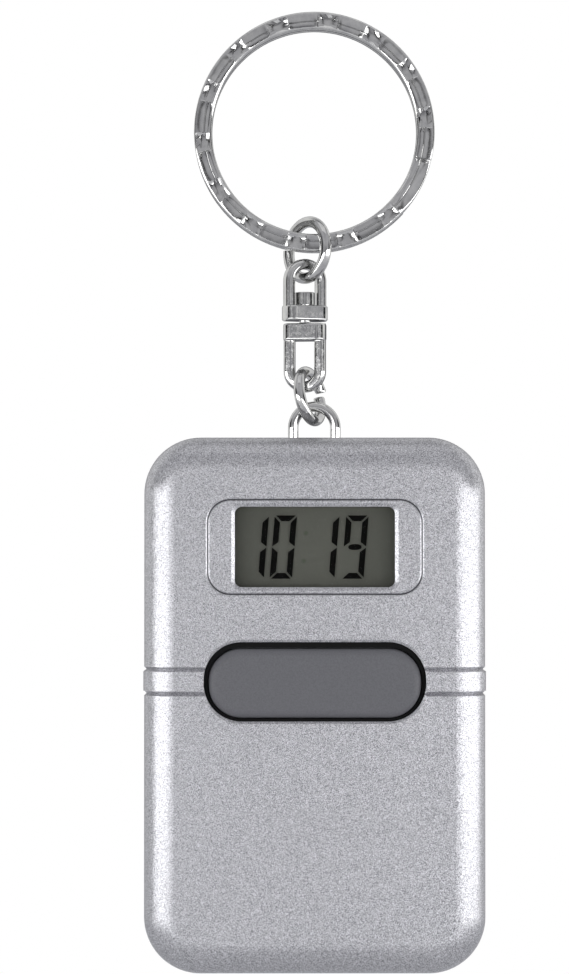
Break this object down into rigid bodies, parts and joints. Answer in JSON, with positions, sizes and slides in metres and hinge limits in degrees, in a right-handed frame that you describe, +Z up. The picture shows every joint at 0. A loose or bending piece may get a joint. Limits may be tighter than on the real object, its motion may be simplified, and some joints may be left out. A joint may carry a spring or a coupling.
{
  "type": "talking key-chain clock",
  "caption": "Pocket talking clock in a silver two-shell case with a digital display and a wide talk button, hung from a split key ring by a swivel chain.",
  "frame": {"origin": "the point where the inside of the key ring bears on a hook, at its top", "axes": "+Z up along the hanging chain, -Y towards the viewer of the display, +X to the viewer's right"},
  "size_m": [0.0394, 0.0157, 0.1112],
  "materials": {
    "silver_shell": "moulded ABS with sprayed metallic silver paint, fine sparkle",
    "grey_button": "moulded ABS, matt mid grey",
    "black_plastic": "moulded ABS, matt black",
    "clear_window": "clear acrylic pane",
    "display_glass": "reflective display glass, dark olive grey",
    "chain_nickel": "nickel-plated steel, polished",
    "screw_steel": "zinc-plated steel",
    "bright_steel": "drawn steel, bright",
    "cell_steel": "nickel-plated steel can",
    "contact_nickel": "nickel-plated spring strip",
    "board_green": "glass-fibre board with green solder mask",
    "black_resin": "black epoxy resin",
    "strip_rubber": "silicone rubber",
    "speaker_film": "pressed polyester film",
    "lead_sleeve": "PVC sleeve"
  },
  "bodies": {
    "key_ring": {"key_ring": "chain_nickel"},
    "upper_link": {"upper_link": "chain_nickel"},
    "upper_shackle": {"upper_shackle": "chain_nickel"},
    "lower_shackle": {"lower_shackle": "chain_nickel", "swivel_pin": "chain_nickel"},
    "lower_link": {"lower_link": "chain_nickel"},
    "clock": {"bail": "chain_nickel", "front_case": "silver_shell", "rear_case": "silver_shell", "case_screws": "screw_steel", "display_window": "clear_window", "lcd_panel": "display_glass", "lcd_holder": "black_plastic", "upper_contact_strip": "strip_rubber", "lower_contact_strip": "strip_rubber", "main_board": "board_green", "chip_blob": "black_resin", "crystal": "bright_steel", "board_components": "black_resin", "button_frame": "black_plastic", "talk_switch_body": "black_plastic", "set_switch_bodies": "black_plastic", "speaker_frame": "bright_steel", "speaker_magnet": "bright_steel", "speaker_cone": "speaker_film", "speaker_gasket": "strip_rubber", "speaker_leads": "lead_sleeve", "cell_left": "cell_steel", "cell_right": "cell_steel", "cell_contacts": "contact_nickel"},
    "talk_button": {"talk_button": "grey_button", "talk_switch_plunger": "black_plastic"},
    "hour_key": {"hour_key": "grey_button", "hour_key_plunger": "black_plastic"},
    "minute_key": {"minute_key": "grey_button", "minute_key_plunger": "black_plastic"},
    "mode_key": {"mode_key": "grey_button", "mode_key_plunger": "black_plastic"},
    "battery_door": {"battery_door": "silver_shell", "battery_bridge": "contact_nickel"}
  },
  "joints": [
    {"name": "upper_link_swing", "type": "hinge", "parent": "key_ring", "child": "upper_link", "pos_m": [-0.0011, 0, -0.02485], "axis": [1, 0, 0], "range_deg": [-25, 25]},
    {"name": "upper_shackle_swing", "type": "hinge", "parent": "upper_link", "child": "upper_shackle", "pos_m": [-0.0011, 0, -0.02889], "axis": [0.6428, -0.766, 0], "range_deg": [-25, 25]},
    {"name": "swivel_turn", "type": "hinge", "parent": "upper_shackle", "child": "lower_shackle", "pos_m": [-0.0011, 0, -0.03405], "axis": [0, 0, 1], "continuous": true},
    {"name": "lower_link_swing", "type": "hinge", "parent": "lower_shackle", "child": "lower_link", "pos_m": [-0.0011, 0, -0.0415], "axis": [0.9848, -0.1736, 0], "range_deg": [-20, 20]},
    {"name": "clock_swing", "type": "hinge", "parent": "lower_link", "child": "clock", "pos_m": [0, 0, -0.04385], "axis": [1, 0, 0], "range_deg": [-25, 25]},
    {"name": "talk_press", "type": "slide", "parent": "clock", "child": "talk_button", "axis": [0, 1, 0], "range_m": [0, 0.0005], "stiffness_N_per_m": 400, "springref_m": -0.0005},
    {"name": "hour_press", "type": "slide", "parent": "clock", "child": "hour_key", "axis": [0, -1, 0], "range_m": [0, 0.0004], "stiffness_N_per_m": 300, "springref_m": -0.0005},
    {"name": "minute_press", "type": "slide", "parent": "clock", "child": "minute_key", "axis": [0, -1, 0], "range_m": [0, 0.0004], "stiffness_N_per_m": 300, "springref_m": -0.0005},
    {"name": "mode_press", "type": "slide", "parent": "clock", "child": "mode_key", "axis": [0, -1, 0], "range_m": [0, 0.0004], "stiffness_N_per_m": 300, "springref_m": -0.0005},
    {"name": "battery_door_slide", "type": "slide", "parent": "clock", "child": "battery_door", "axis": [0, 0, -1], "range_m": [0, 0.017]}
  ]
}
